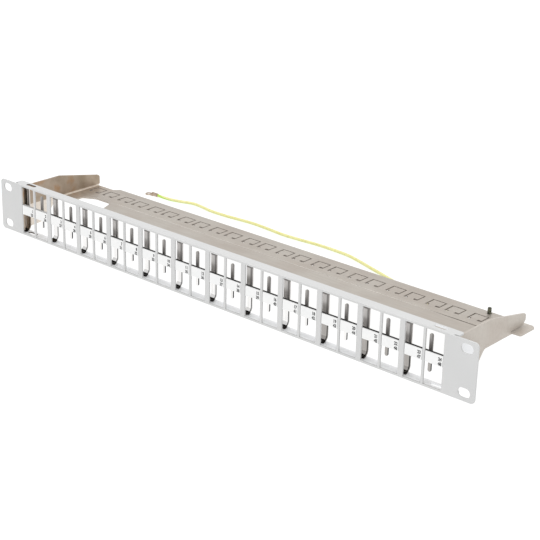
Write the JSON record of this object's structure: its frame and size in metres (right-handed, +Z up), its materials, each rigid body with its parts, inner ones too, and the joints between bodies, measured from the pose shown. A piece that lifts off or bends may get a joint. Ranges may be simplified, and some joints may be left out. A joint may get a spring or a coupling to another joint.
{
  "type": "patch panel",
  "caption": "Blank one-unit 19 inch patch panel: framed module openings over marking plates, with a rear cable tie bar on side arms and a ring-lugged earth lead.",
  "frame": {"origin": "middle of the rectangle under the panel and its cable manager, at the panel's lower edge; the earth lead isn't counted", "axes": "+X along the panel to the right as seen from the front, +Y from the front to the rear, +Z up"},
  "size_m": [0.4826, 0.157, 0.0438],
  "materials": {
    "paint": "satin light grey powder coat",
    "plastic": "white, semi-matt",
    "steel": "bright rolled sheet",
    "zinc": "satin zinc plate",
    "dark_steel": "dark olive passivated thread",
    "tin": "dull tin plate",
    "yellow": "soft cable insulation, yellow with a green stripe"
  },
  "bodies": {
    "panel": {"front_panel": "paint", "cheek_left": "paint", "cheek_right": "paint", "label_rail": "steel", "catch_frame": "steel", "cable_manager": "zinc", "earth_stud": "dark_steel", "earth_washer": "zinc", "earth_lug_panel": "tin", "earth_lug_free": "tin", "earth_wire": "yellow"},
    "nut": {"earth_nut": "zinc"},
    "label_01": {"label_plate_01": "plastic"},
    "label_02": {"label_plate_02": "plastic"},
    "label_03": {"label_plate_03": "plastic"},
    "label_04": {"label_plate_04": "plastic"},
    "label_05": {"label_plate_05": "plastic"},
    "label_06": {"label_plate_06": "plastic"},
    "label_07": {"label_plate_07": "plastic"},
    "label_08": {"label_plate_08": "plastic"},
    "label_09": {"label_plate_09": "plastic"},
    "label_10": {"label_plate_10": "plastic"},
    "label_11": {"label_plate_11": "plastic"},
    "label_12": {"label_plate_12": "plastic"},
    "label_13": {"label_plate_13": "plastic"},
    "label_14": {"label_plate_14": "plastic"},
    "label_15": {"label_plate_15": "plastic"},
    "label_16": {"label_plate_16": "plastic"},
    "label_17": {"label_plate_17": "plastic"},
    "label_18": {"label_plate_18": "plastic"},
    "label_19": {"label_plate_19": "plastic"},
    "label_20": {"label_plate_20": "plastic"},
    "label_21": {"label_plate_21": "plastic"},
    "label_22": {"label_plate_22": "plastic"},
    "label_23": {"label_plate_23": "plastic"},
    "label_24": {"label_plate_24": "plastic"}
  },
  "joints": [
    {"name": "label_pull_01", "type": "slide", "parent": "panel", "child": "label_01", "axis": [0, -1, 0], "range_m": [0, 0.006]},
    {"name": "label_pull_02", "type": "slide", "parent": "panel", "child": "label_02", "axis": [0, -1, 0], "range_m": [0, 0.006]},
    {"name": "label_pull_03", "type": "slide", "parent": "panel", "child": "label_03", "axis": [0, -1, 0], "range_m": [0, 0.006]},
    {"name": "label_pull_04", "type": "slide", "parent": "panel", "child": "label_04", "axis": [0, -1, 0], "range_m": [0, 0.006]},
    {"name": "label_pull_05", "type": "slide", "parent": "panel", "child": "label_05", "axis": [0, -1, 0], "range_m": [0, 0.006]},
    {"name": "label_pull_06", "type": "slide", "parent": "panel", "child": "label_06", "axis": [0, -1, 0], "range_m": [0, 0.006]},
    {"name": "label_pull_07", "type": "slide", "parent": "panel", "child": "label_07", "axis": [0, -1, 0], "range_m": [0, 0.006]},
    {"name": "label_pull_08", "type": "slide", "parent": "panel", "child": "label_08", "axis": [0, -1, 0], "range_m": [0, 0.006]},
    {"name": "label_pull_09", "type": "slide", "parent": "panel", "child": "label_09", "axis": [0, -1, 0], "range_m": [0, 0.006]},
    {"name": "label_pull_10", "type": "slide", "parent": "panel", "child": "label_10", "axis": [0, -1, 0], "range_m": [0, 0.006]},
    {"name": "label_pull_11", "type": "slide", "parent": "panel", "child": "label_11", "axis": [0, -1, 0], "range_m": [0, 0.006]},
    {"name": "label_pull_12", "type": "slide", "parent": "panel", "child": "label_12", "axis": [0, -1, 0], "range_m": [0, 0.006]},
    {"name": "label_pull_13", "type": "slide", "parent": "panel", "child": "label_13", "axis": [0, -1, 0], "range_m": [0, 0.006]},
    {"name": "label_pull_14", "type": "slide", "parent": "panel", "child": "label_14", "axis": [0, -1, 0], "range_m": [0, 0.006]},
    {"name": "label_pull_15", "type": "slide", "parent": "panel", "child": "label_15", "axis": [0, -1, 0], "range_m": [0, 0.006]},
    {"name": "label_pull_16", "type": "slide", "parent": "panel", "child": "label_16", "axis": [0, -1, 0], "range_m": [0, 0.006]},
    {"name": "label_pull_17", "type": "slide", "parent": "panel", "child": "label_17", "axis": [0, -1, 0], "range_m": [0, 0.006]},
    {"name": "label_pull_18", "type": "slide", "parent": "panel", "child": "label_18", "axis": [0, -1, 0], "range_m": [0, 0.006]},
    {"name": "label_pull_19", "type": "slide", "parent": "panel", "child": "label_19", "axis": [0, -1, 0], "range_m": [0, 0.006]},
    {"name": "label_pull_20", "type": "slide", "parent": "panel", "child": "label_20", "axis": [0, -1, 0], "range_m": [0, 0.006]},
    {"name": "label_pull_21", "type": "slide", "parent": "panel", "child": "label_21", "axis": [0, -1, 0], "range_m": [0, 0.006]},
    {"name": "label_pull_22", "type": "slide", "parent": "panel", "child": "label_22", "axis": [0, -1, 0], "range_m": [0, 0.006]},
    {"name": "label_pull_23", "type": "slide", "parent": "panel", "child": "label_23", "axis": [0, -1, 0], "range_m": [0, 0.006]},
    {"name": "label_pull_24", "type": "slide", "parent": "panel", "child": "label_24", "axis": [0, -1, 0], "range_m": [0, 0.006]},
    {"name": "earth_nut_spin", "type": "hinge", "parent": "panel", "child": "nut", "pos_m": [0.191, 0.0432, 0.0156], "axis": [0, 0, 1], "continuous": true}
  ]
}
